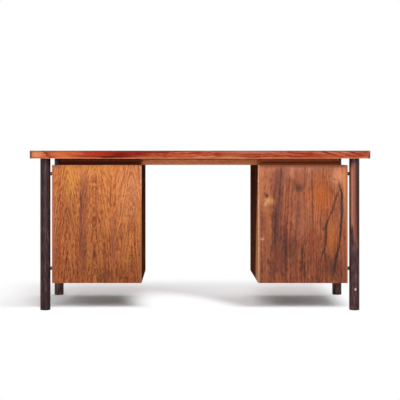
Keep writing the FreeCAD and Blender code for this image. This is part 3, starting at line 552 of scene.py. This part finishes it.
# Panel lippings: painted shade darkening them towards the floor, pale along the arris at the knee
# space as worn edge and painted highlight, at the left one only near its top, and redder at the
# outer edges
LIPPING_MARKS = [
    {"between": (-700, -660), "soft": 1.0, "colour": "#B2643E", "strength": 0.8},
    # Painted shade towards the floor
    {"centre": (-676, 110), "radii": (60, 300), "colour": "#8E5232", "strength": 0.75},
    {"centre": (-273, 150), "radii": (60, 480), "colour": "#8E5A38", "strength": 0.8},
    # Worn edge and painted highlight along the arris
    {"line": [(480, -271.5), (800, -271.5)], "width": 5, "fade": 120, "colour": "#F0CDB4",
     "strength": 0.35},
    {"between": (250, 300), "soft": 1.5, "colour": "#AC6C46", "strength": 0.75},
    # Worn edge and painted highlight along the arris
    {"between": (250, 272.5), "soft": 0.8, "colour": "#F2BC90", "strength": 0.75},
    # Painted shade towards the floor
    {"centre": (273, 110), "radii": (60, 210), "colour": "#A06A44", "strength": 0.6},
    {"between": (660, 800), "soft": 1.0, "colour": "#B46642", "strength": 0.8},
    {"centre": (676, 110), "radii": (60, 260), "colour": "#8E5238", "strength": 0.7},
]

# Right pedestal, inner side: a pale strip near its front edge, wider towards the floor
PALE_FRONT_STRIP = [
    {"between": (-400, [(125, -80), (165, -86), (330, -130), (509, -215), (640, -290), (690, -320)]),
     "soft": 14, "colour": "#C07C4C", "strength": 0.75},
    {"between": (-400, [(125, -130), (400, -212), (640, -300), (690, -325)]), "soft": 10,
     "colour": "#F2AA74", "strength": 0.95},
]

# Right front leg: a faded wedge where the stain has worn, with a painted highlight down its left side and
# painted shade down its right, and a small round chip near the foot
LEG_MARKS = [
    {"between": ([(280, 719), (366, 703), (439, 695), (640, 694), (668, 697), (680, 740)],
                 [(280, 719), (366, 725), (500, 719), (680, 717)]), "soft": 1.5,
     "colour": "#8E4A38", "strength": 0.9},
    # Painted highlight down the wedge's left side
    {"line": [(380, 704), (439, 700), (640, 700), (660, 701)], "width": 9, "fade": 20,
     "colour": "#B0725A", "strength": 0.8},
    # Painted shade down the wedge's right side and the leg's right edge
    {"line": [(380, 722), (500, 719), (640, 718), (670, 719)], "width": 8, "fade": 20,
     "colour": "#6E3A2C", "strength": 0.7},
    {"line": [(300, 730), (650, 729)], "width": 15, "fade": 40, "colour": "#36120C", "strength": 0.75},
    {"centre": (715, 98), "radii": (6, 9), "colour": "#FFFAF4", "strength": 1.0, "sharp": True},
]


def left_panel():
    """Rosewood veneer, flat cut and book-matched, oiled: pointed arches and many fine flecks."""
    rise = [(125, 0), (250, 10), (400, 26), (550, 50), (669, 76)]
    # Painted shade darkens the veneer towards the floor, by the colour and heights given last
    return rosewood("rosewood_left_panel", "XYZ", ORANGE, heart=(62, 7, 0), rise=rise,
                    warp=6.0, leaf=(-547.5, 147.0), arch=0.17, straight=0.14, fine=0.36,
                    blush=("#B4502C", 0.15), flecks=1.0, fleck_zone=(62, 80), marks=LEFT_MARKS,
                    painted_falloff=("#C6BAB8", 180, 660))


def right_panel():
    """Rosewood veneer, cut near the heart, oiled: straight, smoky and knotty, with two dark veins."""
    # Painted shade darkens the veneer towards the floor, by the colour and heights given last
    return rosewood("rosewood_right_panel", "XYZ", RUSSET, heart=(180, 60, 0.02), warp=6.0, run=130,
                    fine=0.2, cloud=0.14, blush=("#8C3A26", 0.4), flecks=0.7, marks=RIGHT_MARKS,
                    painted_falloff=("#CFC6C6", 180, 660))


def stained_leg(name, tones=STAIN, marks=()):
    """Beech stained near black and lacquered: even, dark, with a soft gloss.

    Its fibre is drawn 2 mm wide and its pores 1 mm, coarser than real, so that they show.
    """
    material, tree, shader = new_material(name, IOR=FINISH_IOR, Specular_IOR_Level=0.3)
    place = board_place(tree, "XYZ")
    fibre = wander(tree, place, (2.4, 2.4, 90))
    streak = wander(tree, place, (8, 8, 44), detail=4.0)
    base = wood_colour(tree, growth_tone(tree, (fibre, 0.16), (streak, 0.34)), tones)
    base = lay_marks(tree, place, base, marks, ragged=(5, 60))
    pores = dashes(tree, place, (1.0, 1.0, 20), amount=0.3)
    finish_wood(tree, shader, base, pores, fibre, sheen=0.36)
    return material


def beech(name, grain):
    """Beech, planed and clear lacquered: pale, close, with short brown flecks of 1 by 5 mm.

    Its fibre is drawn 2 mm wide, coarser than real, so that it shows.
    """
    material, tree, shader = new_material(name, IOR=FINISH_IOR)
    place = board_place(tree, grain)
    fibre = wander(tree, place, (2.2, 2.2, 80))
    broad = wander(tree, place, (40, 40, 260))
    base = wood_colour(tree, growth_tone(tree, (fibre, 0.12), (broad, 0.3)), BEECH)
    pores = dashes(tree, place, (0.9, 0.9, 5), amount=0.3)
    finish_wood(tree, shader, base, pores, fibre)
    return material


def coated(name, dark, light, size, roughness, relief, metallic=0.0):
    """A coated or moulded part: a skin that is cloudy over patches of a size in millimetres.

    Its roughness goes with the clouds, and its relief is in metres.
    """
    material, tree, shader = new_material(name, Metallic=metallic)
    place = board_place(tree, "XYZ")
    cloud = wander(tree, place, (size, size, size), reach=0.5)
    share = add(tree, "Math", {0: cloud, 1: 0.5}, operation="ADD")
    skin = add(tree, "Mix", {0: share, 6: colour(dark), 7: colour(light)}, data_type="RGBA").outputs[2]
    tree.links.new(skin, shader.inputs["Base Color"])
    level = add(tree, "Math", {0: cloud, 1: 0.12, 2: roughness}, operation="MULTIPLY_ADD")
    tree.links.new(level.outputs[0], shader.inputs["Roughness"])
    bump = add(tree, "Bump", {"Height": cloud, "Strength": 0.3, "Distance": relief})
    tree.links.new(bump.outputs[0], shader.inputs["Normal"])
    return material


finishes = {
    # Rosewood veneers, sliced and oiled: satin, with their own figure on each board
    "left_panel": left_panel(),
    "right_panel": right_panel(),
    # The inner sides: the case's rosewood in a darker brown, as painted shade in the knee space
    "left_inner_side": rosewood("rosewood_left_inner_side", "YXZ", BROWN, gloss=0.0,
                                blush=("#5A2418", 0.3)),
    "right_inner_side": rosewood("rosewood_right_inner_side", "YXZ", BROWN, gloss=0.0, marks=PALE_FRONT_STRIP,
                                 ragged=(26, 90), blush=("#5A2418", 0.3)),
    "rosewood_top": rosewood("rosewood_top", "YZX", RED, leaf=(-70.0, 140.0), arch=0.2, straight=0.2,
                             streak=9, flecks=0.35, blush=("#8A2A18", 0.5)),
    # Solid rosewood lippings, sawn, planed and oiled
    "front_edge": rosewood("rosewood_front_edge", "ZYX", RED, heart=(40, 60, 0.03), run=160, arch=0.22,
                           straight=0.24, fine=0.24, blush=("#A43420", 0.5), flecks=0.25,
                           marks=EDGE_MARKS, ragged=(5, 40), gloss=0.05),
    "end_lipping": rosewood("rosewood_end_lipping", "XZY", RED, heart=(780, 690, 0), marks=CORNER_MARKS,
                            ragged=(1, 4)),
    # Rosewood veneers on the pedestals and drawer fronts
    "rosewood_case": rosewood("rosewood_case", "YXZ", RUSSET, leaf=(0.0, 150.0), heart=(60, 60, 0.05),
                              arch=0.16, straight=0.16, blush=("#7A3424", 0.45)),
    "case_board": rosewood("rosewood_case_board", "XZY", BROWN, blush=("#5A2418", 0.3)),
    "rosewood_front": rosewood("rosewood_front", "XYZ", ORANGE, leaf=(-475.0, 150.0), arch=0.13,
                               straight=0.13, flecks=0.55),
    # The panels' solid lippings, pale along an arris as worn edge and painted highlight
    "lipping_wood": rosewood("lipping_wood", "XYZ", ORANGE, marks=LIPPING_MARKS, ragged=(3, 40)),
    # Turned beech, stained near black and lacquered: the right front leg is worn, with a painted highlight
    # and painted shade on it, and the rear ones are painted paler as painted light, with painted shade at
    # their tops
    "leg_wood": stained_leg("stained_leg"),
    "worn_leg": stained_leg("worn_leg", WORN_STAIN, LEG_MARKS),
    "rear_leg": stained_leg("rear_leg", REAR_STAIN, REAR_LEG_MARKS),
    # Hardwood rails, planed and stained red-brown, nearly matt; their tones are paler than the wood, partly
    # its own colour and partly painted light under the worktop
    "rail_wood": rosewood("rail_wood", "ZYX", MAHOGANY, marks=RAIL_MARKS, ragged=(3, 60), flecks=0.2,
                          gloss=0.05, fine=0.16),
    # Knobs, turned from dark rosewood
    "knob_wood": rosewood("knob_wood", "XZY", BROWN),
    # Drawer boxes and runners, beech, planed and clear lacquered
    "drawer_wood": beech("lacquered_beech", "XZY"),
    "drawer_back": beech("lacquered_beech_back", "ZYX"),
    # Zinc plating, passivated: bright with faint cloudy patches
    "steel": coated("zinc_plated_steel", "#A8A8A2", "#C4C4C0", size=4, roughness=0.35, relief=0.00001,
                    metallic=1.0),
    # Black paint on metal: even, with a fine orange peel
    "spacer_metal": coated("black_paint", "#151213", "#201C1D", size=2, roughness=0.4, relief=0.00004),
    # Nylon, moulded: slightly cloudy, with scuffs from the floor
    "glide_nylon": coated("moulded_nylon", "#A89C8C", "#C0B4A4", size=3, roughness=0.5, relief=0.00003),
}

slot_of = {row["node"]: row["material_slot"] for row in frame["record"]["subparts"]}

# Pieces with a finish of their own; the others take their slot's
OWN_FINISH = {
    "left_visitor_panel": "left_panel",
    "right_visitor_panel": "right_panel",
    "left_inner_side": "left_inner_side",
    "right_inner_side": "right_inner_side",
    "left_pedestal_top": "case_board",
    "left_pedestal_bottom": "case_board",
    "right_pedestal_top": "case_board",
    "right_pedestal_bottom": "case_board",
    "top_lipping_front": "front_edge",
    "top_lipping_rear": "front_edge",
    "top_lipping_left": "end_lipping",
    "top_lipping_right": "end_lipping",
    "leg_front_right": "worn_leg",
    "leg_rear_left": "rear_leg",
    "leg_rear_right": "rear_leg",
}

for name, piece in nodes.items():
    finish = OWN_FINISH.get(name, slot_of[name])
    if name.endswith("_drawer_back"):
        finish = "drawer_back"
    for slot in piece.material_slots:
        slot.material = finishes[finish]


# Stage, light and camera

# The paper's colour as it lights the desk, and what is laid over it as the camera sees it
PAPER = "#E0E0E0"
PAPER_SEEN = "#CDD1D5"
BLACK = "#000000"
WHITE = "#FFFFFF"

# The floor's shadow ends in plain white towards each side: where that begins and is done, in metres
SHADOW_EDGES = (("X", -0.72, -1.15), ("X", 0.61, 0.76), ("Y", -0.13, -0.25), ("Y", 0.60, 1.15))

# The white patch of floor where light comes through the knee space, an oval by its place, turn and
# radii in metres, and the share of its radii where it begins to fade and is gone
KNEE_LIGHT = {"Location": (-0.01, -0.3, 0), "Rotation": (0, 0, 0.31), "Scale": (0.3, 0.93, 1)}
KNEE_FADE = (0.5, 1.0)


def floor_material():
    """White studio paper: it keeps the desk's shadow, and is plain white further out."""
    material, tree, shader = new_material("white_paper", Base_Color=colour(PAPER), Roughness=1.0,
                                          Specular_IOR_Level=0.0)
    path = add(tree, "LightPath")
    shown = add(tree, "Mix", {0: path.outputs["Is Camera Ray"], 6: colour(BLACK), 7: colour(PAPER_SEEN)},
                data_type="RGBA").outputs[2]
    lifted = add(tree, "BsdfDiffuse", {"Color": shown})
    paper = add(tree, "AddShader", {0: shader, 1: lifted})
    white = add(tree, "Emission", {"Color": colour(WHITE), "Strength": 1.0})
    place = add(tree, "TexCoord").outputs["Object"]
    knee = add(tree, "Mapping", {"Vector": place, **KNEE_LIGHT}, vector_type="TEXTURE")
    away = add(tree, "VectorMath", {0: knee}, operation="LENGTH").outputs["Value"]
    kept = add(tree, "MapRange", {"Value": away, "From Min": KNEE_FADE[0], "From Max": KNEE_FADE[1]},
               interpolation_type="SMOOTHSTEP")
    axes = add(tree, "SeparateXYZ", {0: place})
    for axis, begins, ends in SHADOW_EDGES:
        inside = add(tree, "MapRange", {"Value": axes.outputs[axis], "From Min": ends, "From Max": begins},
                     interpolation_type="SMOOTHSTEP")
        kept = add(tree, "Math", {0: kept, 1: inside}, operation="MULTIPLY")
    far = add(tree, "Math", {0: 1.0, 1: kept}, operation="SUBTRACT")
    seen = add(tree, "Math", {0: path.outputs["Is Camera Ray"], 1: far}, operation="MULTIPLY")
    mix = add(tree, "MixShader", {"Fac": seen, 1: paper, 2: white})
    tree.links.new(mix.outputs[0], tree.nodes["Material Output"].inputs["Surface"])
    return material


def make_floor(size=60.0):
    """A flat square of paper, in metres."""
    half = size / 2
    corners = [(-half, -half, 0), (half, -half, 0), (half, half, 0), (-half, half, 0)]
    mesh = bpy.data.meshes.new("floor")
    mesh.from_pydata(corners, [], [(0, 1, 2, 3)])
    floor = bpy.data.objects.new("floor", mesh)
    mesh.materials.append(floor_material())
    bpy.context.scene.collection.objects.link(floor)


def make_world(fill=0.42):
    """A studio that looks white, also in gloss and through glass, and lights the desk by the fill."""
    world = bpy.data.worlds.new("studio")
    bpy.context.scene.world = world
    world.use_nodes = True
    tree = world.node_tree
    path = add(tree, "LightPath")
    seen = path.outputs["Is Camera Ray"]
    for ray in ("Is Glossy Ray", "Is Transmission Ray"):
        seen = add(tree, "Math", {0: seen, 1: path.outputs[ray]}, operation="MAXIMUM")
    level = add(tree, "MapRange", {"Value": seen, "To Min": fill, "To Max": 1.0})
    back = tree.nodes["Background"]
    back.inputs["Color"].default_value = colour(WHITE)
    tree.links.new(level.outputs[0], back.inputs["Strength"])


def soft_light(name, place, target, size, watts):
    """A wide lamp that faces its target."""
    data = bpy.data.lights.new(name, "AREA")
    data.shape = "RECTANGLE"
    data.size, data.size_y = size
    data.energy = watts
    lamp = bpy.data.objects.new(name, data)
    lamp.location = place
    lamp.rotation_euler = (Vector(target) - Vector(place)).to_track_quat("-Z", "Y").to_euler()
    bpy.context.scene.collection.objects.link(lamp)


def make_camera():
    """The photograph's camera: level, square on, with its frame shifted to the vanishing point."""
    data = bpy.data.cameras.new("camera")
    data.sensor_width = SENSOR_WIDTH
    data.lens = FOCAL_PIXELS / FRAME_PIXELS * SENSOR_WIDTH
    data.shift_x = 0.5 - VANISHING_PIXEL[0] / FRAME_PIXELS
    data.shift_y = VANISHING_PIXEL[1] / FRAME_PIXELS - 0.5
    camera = bpy.data.objects.new("camera", data)
    camera.location = CAMERA_PLACE
    camera.rotation_euler = (math.radians(90), 0, 0)
    bpy.context.scene.collection.objects.link(camera)
    bpy.context.scene.camera = camera


make_floor()
make_world()
soft_light("key", place=(-0.6, -3.5, 2.2), target=(0, -0.3, 0.35), size=(2.4, 1.2), watts=64)
soft_light("front", place=(-0.1, -4.0, 0.9), target=(0, -0.3, 0.5), size=(3.0, 1.5), watts=28)
soft_light("back", place=(0.8, 4.2, 0.95), target=(0, 0.3, 0.4), size=(2.6, 1.2), watts=16)
soft_light("top", place=(0.2, 1.5, 3.0), target=(0, 0.9, 0), size=(2.4, 1.0), watts=10)
make_camera()
bpy.context.scene.view_settings.view_transform = "Standard"
